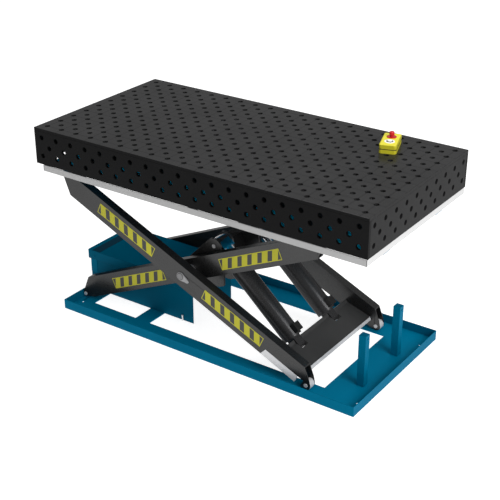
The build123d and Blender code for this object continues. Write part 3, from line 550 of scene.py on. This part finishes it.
def paint(obj, name, mat, body):
    # names a finished piece, and says how it looks and what it moves with
    obj.name = name
    obj.data.name = name
    obj.data.materials.clear()
    obj.data.materials.append(mat)
    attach(obj, body)
    print("%s: %d faces, on %s" % (name, len(obj.data.polygons), body))
    return obj


def columns(x_axis, y_axis, z_axis, centre):
    # the placing matrix of an object with these three axes and this middle
    return Matrix((
        (x_axis.x, y_axis.x, z_axis.x, centre.x),
        (x_axis.y, y_axis.y, z_axis.y, centre.y),
        (x_axis.z, y_axis.z, z_axis.z, centre.z),
        (0, 0, 0, 1),
    ))


# %% [markdown]
# ## Plates, discs and rings
#
# Sheet metal and turned parts are the same few forms again and again. A plate is a cube
# brought to size, with its edges broken by a bevel, because a perfectly sharp edge
# catches no light and looks false. A disc is a cylinder with only its rims bevelled. A
# ring is spun: a small circle stands beside the axis and is turned once round it.

# %% Plate
def soften(obj, width, segments, limit="NONE"):
    bevel = obj.modifiers.new("bevel", "BEVEL")
    bevel.width = width
    bevel.segments = segments
    bevel.limit_method = limit
    return apply_all(obj)


def plate(centre, size, bevel=0.0012):
    choose()
    bpy.ops.mesh.primitive_cube_add(size=1, location=centre)
    obj = bpy.context.object
    obj.scale = size
    return soften(settle(obj), bevel, 2)


# %% Disc and ring
def round_piece(
    centre, radius, depth, turn=(0, 0, 0), bevel=0.0008, vertices=40, segments=3
):
    choose()
    bpy.ops.mesh.primitive_cylinder_add(
        vertices=vertices, radius=radius, depth=depth, location=centre, rotation=turn
    )
    obj = soften(settle(bpy.context.object), bevel, segments, "ANGLE")
    bpy.ops.object.shade_smooth_by_angle(angle=math.radians(35))
    return obj


def ring(centre, axis, radius, thickness, steps, sides):
    # the small circle starts beside the axis, in the plane that holds the axis
    centre = Vector(centre)
    axis = Vector(axis)
    out = Vector((1, 0, 0))
    choose()
    bpy.ops.mesh.primitive_circle_add(vertices=sides, radius=thickness)
    obj = bpy.context.object
    obj.matrix_world = columns(axis, out, axis.cross(out), centre + out * radius)
    settle(obj)
    bpy.ops.object.mode_set(mode="EDIT")
    bpy.ops.mesh.select_all(action="SELECT")
    bpy.ops.mesh.spin(steps=steps, angle=2 * math.pi, center=centre, axis=axis)
    bpy.ops.mesh.select_all(action="SELECT")
    bpy.ops.mesh.remove_doubles(threshold=0.00001)
    bpy.ops.mesh.normals_make_consistent(inside=False)
    bpy.ops.object.mode_set(mode="OBJECT")
    bpy.ops.object.shade_smooth()
    return obj


# %% [markdown]
# ## Round holes by the hundred
#
# The CAD holes have six sides, enough for fixtures and far too few for the eye. The
# plates are made again with round ones. Drilling hole by hole would take hundreds of
# cuts, so one drill is repeated in a row and the row in a grid, and a single Boolean
# cuts them all.

# %% Drills
DRILL_SIDES = 28
TURNS = {"X": (0, math.pi / 2, 0), "Y": (math.pi / 2, 0, 0), "Z": (0, 0, 0)}


def drill_set(start, step_a, count_a, step_b, count_b, axis, depth=0.06):
    choose()
    bpy.ops.mesh.primitive_cylinder_add(
        vertices=DRILL_SIDES, radius=HOLE_R, depth=depth, location=start,
        rotation=TURNS[axis],
    )
    obj = settle(bpy.context.object)
    for step, count in ((step_a, count_a), (step_b, count_b)):
        rows = obj.modifiers.new("rows", "ARRAY")
        rows.use_relative_offset = False
        rows.use_constant_offset = True
        rows.constant_offset_displace = step
        rows.count = count
    return apply_all(obj)


def drill(obj, cutters):
    for cutter in cutters:
        cut = obj.modifiers.new("holes", "BOOLEAN")
        cut.operation = "DIFFERENCE"
        cut.solver = "FAST"
        cut.object = cutter
        apply_all(obj)
        bpy.data.objects.remove(cutter)
    return obj


# %% Top plate
ALONG = (PITCH, 0, 0)
ACROSS = (0, PITCH, 0)
UP = (0, 0, PITCH)
top = plate((0, 0, TOP_Z - THICK / 2), (LENGTH, WIDTH, THICK))
drill(top, [
    drill_set((-GRID_X, -GRID_Y, TOP_Z), ALONG, COLUMNS, ACROSS, ROWS, "Z"),
    drill_set(
        (-GRID_X + PITCH / 2, -GRID_Y + PITCH / 2, TOP_Z),
        ALONG, COLUMNS - 1, ACROSS, ROWS - 1, "Z",
    ),
])
paint(top, "worktop_top", top_steel, "platform")
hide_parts("worktop_plate")

# %% [markdown]
# The rim of the top plate belongs to the sides by its looks. Its faces are found by
# their normal and their place, and get the darker copy of the steel of the side below
# them, which is painted shade.

# %% Rim of the top plate
RIM_DEPTH = 0.003
top.data.materials.append(side_steel_shaded)
top.data.materials.append(end_steel_shaded)
for polygon in top.data.polygons:
    normal, middle = polygon.normal, polygon.center
    if abs(normal.y) > 0.7 and abs(middle.y) > WIDTH / 2 - RIM_DEPTH:
        polygon.material_index = 1
    elif abs(normal.x) > 0.7 and abs(middle.x) > LENGTH / 2 - RIM_DEPTH:
        polygon.material_index = 2
print("rim faces:", sum(polygon.material_index > 0 for polygon in top.data.polygons))

# %% Side plates
SIDE_H = TOP_Z - THICK - SLAB_Z
SIDE_MIDDLE = SLAB_Z + SIDE_H / 2
LOW_ROW = TOP_Z - 3 * ROW_STEP
MIDDLE_ROW = TOP_Z - 2 * ROW_STEP
for name, side in (("front", -1), ("back", 1)):
    y = side * (WIDTH / 2 - THICK / 2)
    panel = plate((0, y, SIDE_MIDDLE), (LENGTH, THICK, SIDE_H))
    drill(panel, [
        drill_set((-GRID_X, y, LOW_ROW), ALONG, COLUMNS, UP, 2, "Y"),
        drill_set((-GRID_X + PITCH / 2, y, MIDDLE_ROW), ALONG, COLUMNS - 1, UP, 1, "Y"),
    ])
    # the sides get the darkest copy of the steel, painted shade
    paint(panel, "worktop_" + name, side_steel_shaded, "platform")
    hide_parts("side_" + name)

# %% End plates
for name, side in (("left", -1), ("right", 1)):
    x = side * (LENGTH / 2 - THICK / 2)
    panel = plate((x, 0, SIDE_MIDDLE), (THICK, WIDTH - 2 * THICK, SIDE_H))
    drill(panel, [
        drill_set((x, -GRID_Y, LOW_ROW), ACROSS, ROWS, UP, 2, "X"),
        drill_set((x, -GRID_Y + PITCH / 2, MIDDLE_ROW), ACROSS, ROWS - 1, UP, 1, "X"),
    ])
    # the ends get a darker copy of the steel, painted shade
    paint(panel, "worktop_" + name, end_steel_shaded, "platform")
    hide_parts("side_ends")

# %% [markdown]
# ## Stickers on the arms
#
# A sticker is a thin foil on the outer face of an arm. Its place is easiest to give as
# the arm sees it: so far along the arm from the centre pivot, and so far above the
# arm's middle line. Two functions turn that into the table's own axes. The foil gets a
# real thickness, so that its edge closes, and lies a hair off the paint.

# %% Directions on an arm
def arm_axes(slope):
    # slope is 1 for an arm that falls to the right, and -1 for one that rises
    along = Vector((math.cos(LIFT), 0, -slope * math.sin(LIFT)))
    up = Vector((slope * math.sin(LIFT), 0, math.cos(LIFT)))
    return along, up


def arm_point(u, w, y, slope):
    along, up = arm_axes(slope)
    spot = CENTRE + along * u + up * w
    spot.y = y
    return spot


# %% Stickers
FOIL_FRONT = 0.0005
FOIL_THICK = 0.0004
OUTER_SPOTS = ((-0.396, 0.004), (0.356, 0.003))
INNER_SPOTS = ((-0.404, -0.003), (0.404, -0.002))


def sticker(name, spot, side, face, slope, body, mat):
    along, up = arm_axes(slope)
    choose()
    bpy.ops.mesh.primitive_plane_add(size=1)
    obj = bpy.context.object
    obj.matrix_world = columns(
        along * STRIPE_LENGTH, up * STRIPE_HEIGHT, along.cross(up),
        arm_point(*spot, side * (face + FOIL_FRONT), slope),
    )
    settle(obj)
    if side > 0:
        obj.data.flip_normals()
    foil = obj.modifiers.new("foil", "SOLIDIFY")
    foil.thickness = FOIL_THICK
    foil.offset = -1
    return paint(apply_all(obj), name, mat, body)


for side, tag in ((-1, "front"), (1, "back")):
    for number, spot in enumerate(OUTER_SPOTS):
        sticker(
            "stripes_outer_%s_%d" % (tag, number), spot, side, OUTER_FACE, 1,
            "outer_frame", stripes_outer,
        )
    for number, spot in enumerate(INNER_SPOTS):
        sticker(
            "stripes_inner_%s_%d" % (tag, number), spot, side, INNER_FACE, -1,
            "inner_frame", stripes_inner,
        )

# %% [markdown]
# ## Bright lip on the lower beam
#
# The low end of the beam is cut on a slant, and the bare cut shines. A thin tilted
# plate covers it. It is built like any plate, but its three axes are given as a matrix,
# because it lies along the cut and not along the table. It sinks into the beam by a
# tenth of a millimetre, so no gap shows.

# %% Beam lip
SINK = 0.0001
LIP_THICK = 0.0012
LIP_SHORTER = 0.0015
LIP_INSET = 0.003
# the cut's two ends, back from the arm's end pin and above its middle line
NOSE = (0.0541, -0.0026)
TOE = (0.0391, -0.0148)
nose = arm_point(ARM_REACH - NOSE[0], NOSE[1], 0, 1)
toe = arm_point(ARM_REACH - TOE[0], TOE[1], 0, 1)


def tilted_plate(centre, run, size, bevel=0.0004):
    # a thin plate whose length runs along a direction in the side view
    side = Vector((0, 1, 0))
    choose()
    bpy.ops.mesh.primitive_cube_add(size=1)
    obj = bpy.context.object
    obj.matrix_world = columns(
        run * size[0], side * size[1], run.cross(side) * size[2], centre
    )
    return soften(settle(obj), bevel, 2)


lip_run = (toe - nose).normalized()
lip_out = lip_run.cross(Vector((0, 1, 0)))
lip_length = (toe - nose).length - LIP_SHORTER
lip_width = beam_high.y - beam_low.y - 2 * LIP_INSET
lip = tilted_plate(
    (nose + toe) / 2 + lip_out * (LIP_THICK / 2 - SINK), lip_run,
    (lip_length, lip_width, LIP_THICK),
)
paint(lip, "beam_lip", roller_steel, "outer_frame")

# %% [markdown]
# ## Lid and housing of the power unit
#
# The lid is folded up round its edge, so a light edge, a dark band in its shade and the
# flat panel follow each other. Three thin skins on the lid show them with paint alone:
# the edge and the panel in a lighter blue, painted light, and the band in a darker
# blue, painted shade. The housing has a folded strip at its corner, and a small stud
# that holds it to the tray.

# %% Skins on the lid
SKIN_INSET = 0.003
SKIN_THICK = 0.0012
SKIN_GAP = 0.0005
EDGE_END = 0.03
BAND_END = 0.088
# painted light on the edge and panel skins, painted shade on the band skin
for name, start, end, mat in (
    ("lid_edge", SKIN_INSET, EDGE_END, lid_painted_light),
    ("lid_band", EDGE_END + SKIN_GAP, BAND_END, band_painted_shade),
    ("lid_panel", BAND_END + SKIN_GAP, lid_high.x - lid_low.x - SKIN_INSET, lid_painted_light),
):
    skin = plate(
        (lid_low.x + (start + end) / 2, 0, lid_high.z + SKIN_THICK / 2 - SINK),
        (end - start, lid_high.y - lid_low.y - 2 * SKIN_INSET, SKIN_THICK), 0.0004,
    )
    paint(skin, name, mat, "base")

# %% Fold of the housing
FOLD_WIDTH = 0.045
FOLD_THICK = 0.002
FOLD_REACH = 0.135
fold_top = lid_low.z - 0.002
fold_foot = housing_high.z - FOLD_REACH
fold = plate(
    (
        housing_low.x + FOLD_WIDTH / 2, housing_low.y - FOLD_THICK / 2 + SINK,
        (fold_top + fold_foot) / 2,
    ),
    (FOLD_WIDTH, FOLD_THICK, fold_top - fold_foot), 0.0006,
)
paint(fold, "housing_fold", frame_blue, "base")

# %% Stud of the housing
STUD_X = -0.2994
STUD_R = 0.004
STUD_LENGTH = 0.03
HEAD_R = 0.0057
HEAD_THICK = 0.006
stud_y = housing_low.y - 0.0039
shank = round_piece(
    (STUD_X, stud_y, 0.021), STUD_R, STUD_LENGTH, bevel=0.0004, vertices=20
)
head = round_piece(
    (STUD_X, stud_y - 0.0018, 0.038), HEAD_R, HEAD_THICK, bevel=0.001, vertices=20
)
paint(join([shank, head]), "housing_stud", bright_steel, "base")

# %% [markdown]
# ## Ends and grooves of the pins
#
# A pin that has been turned on a lathe ends in a bright face. The foot pins of the rams
# get one at each end. Round each centre pin runs a groove, where the pin enters its
# lock plate. A thin dark ring stands for its shadow.

# %% Foot pin ends
CAP_THICK = 0.002
foot_low, foot_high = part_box("ram_foot_pins")
foot_x = (foot_low.x + foot_high.x) / 2
foot_z = (foot_low.z + foot_high.z) / 2
cap_r = (foot_high.z - foot_low.z) / 2 * 0.9
caps = [
    round_piece(
        (foot_x, end_y + side * (CAP_THICK / 2 - SINK), foot_z), cap_r, CAP_THICK,
        TURNS["Y"],
    )
    for end_y, side in ((foot_low.y, -1), (foot_high.y, 1))
]
paint(join(caps), "foot_pin_ends", bright_steel, "outer_frame")

# %% Grooves on the lock plates
GROOVE_OUT = 0.0012
GROOVE_R = 0.0014
lock_low, lock_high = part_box("centre_locks")
rings = [
    ring((CENTRE.x, face_y, CENTRE.z), (0, 1, 0), PIN_R + GROOVE_OUT, GROOVE_R, 56, 8)
    for face_y in (lock_low.y, lock_high.y)
]
paint(join(rings), "lock_grooves", arm_grey, "outer_frame")

# %% [markdown]
# ## Joints of the trip skirt
#
# The skirt is made of four lengths of sheet. Where two of them meet there is a narrow
# dark gap. Its shadow is what the eye sees, so a thin black strip at each corner does
# the work of a real slit.

# %% Skirt joints
JOINT_IN = 0.0012
JOINT_SIZE = (0.002, 0.0006)
JOINT_SHORTER = 0.004
front_low, front_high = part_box("skirt_front")
back_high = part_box("skirt_back")[1]
joints = [
    plate(
        (x, face_y + side * 0.0002, (front_low.z + front_high.z) / 2),
        (*JOINT_SIZE, front_high.z - front_low.z - JOINT_SHORTER), 0.0001,
    )
    for x in (front_low.x + JOINT_IN, front_high.x - JOINT_IN)
    for face_y, side in ((front_low.y, -1), (back_high.y, 1))
]
paint(join(joints), "skirt_joints", gap_black, "trip_skirt")

# %% [markdown]
# ## Pendant
#
# The hand control lies askew on the worktop. Its pieces are laid out in its own axes,
# length and width from its middle, and then turned with it. Its face is a plate with
# rounded corners: a flat rectangle gets its corners bevelled, and only then its
# thickness, because a bevel on the solid would round the flat edges as well.

# %% Places on the pendant
PENDANT_TURN = math.radians(19)
body_low, body_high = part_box("pendant_lower")
shell_low, shell_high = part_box("pendant_upper")
FACE_Z = shell_high.z
pendant_spot = (body_low + body_high) / 2


def pendant_point(x, y, height):
    turned = Matrix.Rotation(PENDANT_TURN, 3, "Z") @ Vector((x, y, 0))
    return Vector((
        pendant_spot.x + turned.x, pendant_spot.y + turned.y, FACE_Z + height
    ))


def rounded_plate(middle, length, width, corner_r, thick):
    # its base lies at the height of its middle
    choose()
    bpy.ops.mesh.primitive_plane_add(
        size=1, location=middle, rotation=(0, 0, PENDANT_TURN)
    )
    obj = bpy.context.object
    obj.scale = (length, width, 1)
    settle(obj)
    corners = obj.modifiers.new("corners", "BEVEL")
    corners.affect = "VERTICES"
    corners.width = corner_r * (2 - math.sqrt(2))
    corners.segments = 6
    depth = obj.modifiers.new("depth", "SOLIDIFY")
    depth.thickness = thick
    depth.offset = 1
    return apply_all(obj)


# %% Pendant face
STOP_Y = 0.035
LIFT_Y = -0.030
STEM_R = 0.008
BUTTON_R = 0.012
GAP = 0.0003
FACE_SIZE = (0.080, 0.173)
FACE_CORNER = 0.009
FACE_THICK = 0.0008
face = rounded_plate(pendant_point(0, 0, -SINK), *FACE_SIZE, FACE_CORNER, FACE_THICK)
drill(face, [
    round_piece(pendant_point(0, y, 0), radius + GAP, 0.01, bevel=0.0001)
    for y, radius in ((STOP_Y, STEM_R), (LIFT_Y, BUTTON_R))
])
paint(face, "pendant_face", face_yellow, "pendant")

# %% [markdown]
# The two shells are closed by a rubber seal that stands out a little. It is the space
# between a larger and a smaller rounded plate, so the smaller one is cut out of the
# larger one.

# %% Seal lip
LIP_HEIGHT = 0.0036
LIP_SIZE = (0.0876, 0.1806)
LIP_CORNER = 0.0123
CORE_HEIGHT = 0.01
CORE_SIZE = (0.084, 0.177)
CORE_CORNER = 0.0105
seal_z = (body_high.z + shell_low.z) / 2 - FACE_Z
seal_lip = rounded_plate(
    pendant_point(0, 0, seal_z - LIP_HEIGHT / 2), *LIP_SIZE, LIP_CORNER, LIP_HEIGHT
)
core = rounded_plate(
    pendant_point(0, 0, seal_z - CORE_HEIGHT / 2), *CORE_SIZE, CORE_CORNER, CORE_HEIGHT
)
drill(seal_lip, [core])
paint(seal_lip, "seal_lip", seal_black, "pendant")

# %% [markdown]
# The stop button is a mushroom: a wide crown that the palm can hit, on a thin stem that
# goes through the face. A cylinder with a very wide bevel on its rims makes the crown.
# The white plate round the other button is bored out for it, and a rubber ring closes
# the gap between them.

# %% Stop button
CROWN_R = 0.0135
CROWN_THICK = 0.02
STEM_LENGTH = 0.0105
crown = round_piece(
    pendant_point(0, STOP_Y, 0.02), CROWN_R, CROWN_THICK, bevel=0.0055, segments=6
)
stem = round_piece(pendant_point(0, STOP_Y, 0.005), STEM_R, STEM_LENGTH, bevel=0.0002)
mushroom = join([crown, stem])
paint(mushroom, "stop_mushroom", stop_red, "stop_push")
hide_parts("stop_button")

# %% Lift button's plate and ring
RUBBER_R = 0.002
RUBBER_OUT = 0.0022
BEZEL_R = 0.0265
BEZEL_THICK = 0.002
bezel = round_piece(
    pendant_point(0, LIFT_Y, BEZEL_THICK / 2), BEZEL_R, BEZEL_THICK, vertices=64
)
bore = round_piece(pendant_point(0, LIFT_Y, 0), BUTTON_R + GAP, 0.02, bevel=0.0001)
drill(bezel, [bore])
paint(bezel, "lift_plate", button_white, "pendant")
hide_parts("lift_bezel")
rubber = ring(
    pendant_point(0, LIFT_Y, BEZEL_THICK), (0, 0, 1), BUTTON_R + GAP + RUBBER_OUT,
    RUBBER_R, 48, 10,
)
paint(rubber, "lift_ring", seal_black, "pendant")

# %% [markdown]
# ## Softened edges on the CAD pieces
#
# The CAD pieces come with sharp edges and loose triangles. Their meshes aren't touched.
# Two modifiers do the work: Weld joins the loose triangles, and Bevel then rounds the
# edges that turn by more than 40 degrees, as a file would. The width follows the piece:
# 3 mm on the tubes, under 1 mm on a screw.

# %% Soft edges
SOFT = {
    "inner_arm_front": 0.003, "inner_arm_back": 0.003, "outer_arm_front": 0.003,
    "outer_arm_back": 0.003, "pendant_lower": 0.003, "pendant_upper": 0.003,
    "housing_lid": 0.002, "stop_posts": 0.002, "ram_port_front": 0.002,
    "ram_port_back": 0.002, "inner_cross_tube": 0.002, "lower_rollers": 0.002,
    "upper_rollers": 0.002, "base_tray": 0.0015, "power_unit_housing": 0.0015,
    "lower_beam": 0.0015, "ram_brackets": 0.0015, "centre_pins": 0.0015,
    "skirt_front": 0.001, "skirt_back": 0.001, "skirt_ends": 0.001,
    "stop_collar": 0.001, "lift_button": 0.001, "centre_locks": 0.001,
    "base_pivot_pins": 0.001, "lid_screws": 0.0008,
}
for name, width in SOFT.items():
    weld = nodes[name].modifiers.new("weld", "WELD")
    weld.merge_threshold = 0.00002
    rounded = nodes[name].modifiers.new("bevel", "BEVEL")
    rounded.width = width
    rounded.segments = 2
    rounded.limit_method = "ANGLE"
    rounded.angle_limit = math.radians(40)
    rounded.harden_normals = True
print(len(SOFT), "CAD pieces have soft edges")

# %% [markdown]
# ## Floor
#
# The picture has no horizon, only white and a faint shadow. A very large pale floor
# that glows a little by itself comes out white and still takes the shadow. It isn't
# part of the table.

# %% Floor
FLOOR_SIZE = 60
FLOOR_DROP = 0.0005
choose()
bpy.ops.mesh.primitive_plane_add(size=FLOOR_SIZE, location=(0, 0, -FLOOR_DROP))
floor = bpy.context.object
floor.name = "floor"
floor_mat = bpy.data.materials.new("floor")
floor_mat.use_nodes = True
floor_shader = floor_mat.node_tree.nodes["Principled BSDF"]
floor_shader.inputs["Base Color"].default_value = (0.5, 0.5, 0.5, 1)
floor_shader.inputs["Roughness"].default_value = 0.9
floor_shader.inputs["Emission Color"].default_value = (1, 1, 1, 1)
floor_shader.inputs["Emission Strength"].default_value = 0.85
floor.data.materials.append(floor_mat)

# %% [markdown]
# ## Light
#
# A studio has soft light from all sides and one stronger lamp. The world does the
# first, and it has two faces: the camera sees it pure white, and the table is lit by it
# at less than half of that, so that the dark steel stays dark. The key lamp stands to
# the right and in front, a weak fill in front, and a wide lamp above draws the sheen on
# the worktop.

# %% World
world = bpy.data.worlds.new("studio")
bpy.context.scene.world = world
world.use_nodes = True
tree = world.node_tree
seen = tree.nodes["Background"]
glow = tree.nodes.new("ShaderNodeBackground")
for background, strength in ((seen, 1.0), (glow, 0.4)):
    background.inputs["Color"].default_value = (1, 1, 1, 1)
    background.inputs["Strength"].default_value = strength
rays = tree.nodes.new("ShaderNodeLightPath")
either = tree.nodes.new("ShaderNodeMixShader")
tree.links.new(rays.outputs["Is Camera Ray"], either.inputs[0])
tree.links.new(glow.outputs[0], either.inputs[1])
tree.links.new(seen.outputs[0], either.inputs[2])
tree.links.new(either.outputs[0], tree.nodes["World Output"].inputs["Surface"])

# %% Lamps
AIM = Vector((0, 0, 0.6))


def area_light(name, place, power, size):
    data = bpy.data.lights.new(name, "AREA")
    data.energy = power
    data.size = size
    lamp = bpy.data.objects.new(name, data)
    lamp.location = place
    lamp.rotation_euler = (AIM - Vector(place)).to_track_quat("-Z", "Y").to_euler()
    bpy.context.scene.collection.objects.link(lamp)
    print("%s: %d W, %.0f m wide" % (name, power, size))


area_light("key", (5.5, -1.5, 3.5), 300, 3.0)
area_light("front_fill", (-1.5, -6.0, 2.2), 30, 4.0)
area_light("top_fill", (0.5, 0.5, 6.0), 180, 5.0)

# %% [markdown]
# ## Camera
#
# The camera's place, angles and lens were fitted to the grid of holes, whose true size
# is known. It looks down on the table from its front right. Its three axes are worked
# out from azimuth, elevation and a very small roll.

# %% Camera
AZIMUTH = math.radians(34.6794256)
ELEVATION = math.radians(26.3477259)
ROLL = math.radians(0.104745856)
CAMERA_SPOT = Vector((3.07197479, -4.40081687, 3.10930369))
back = Vector((
    math.sin(AZIMUTH) * math.cos(ELEVATION),
    -math.cos(AZIMUTH) * math.cos(ELEVATION),
    math.sin(ELEVATION),
))
right = Vector((math.cos(AZIMUTH), math.sin(AZIMUTH), 0))
up = back.cross(right)
camera_data = bpy.data.cameras.new("camera")
camera_data.sensor_width = 36
camera_data.lens = 80.7456
camera = bpy.data.objects.new("camera", camera_data)
camera.matrix_world = columns(
    right * math.cos(ROLL) + up * math.sin(ROLL),
    up * math.cos(ROLL) - right * math.sin(ROLL), back, CAMERA_SPOT,
)
bpy.context.scene.collection.objects.link(camera)
bpy.context.scene.camera = camera
bpy.context.scene.view_settings.view_transform = "Standard"
print("camera at", tuple(round(value, 2) for value in CAMERA_SPOT))
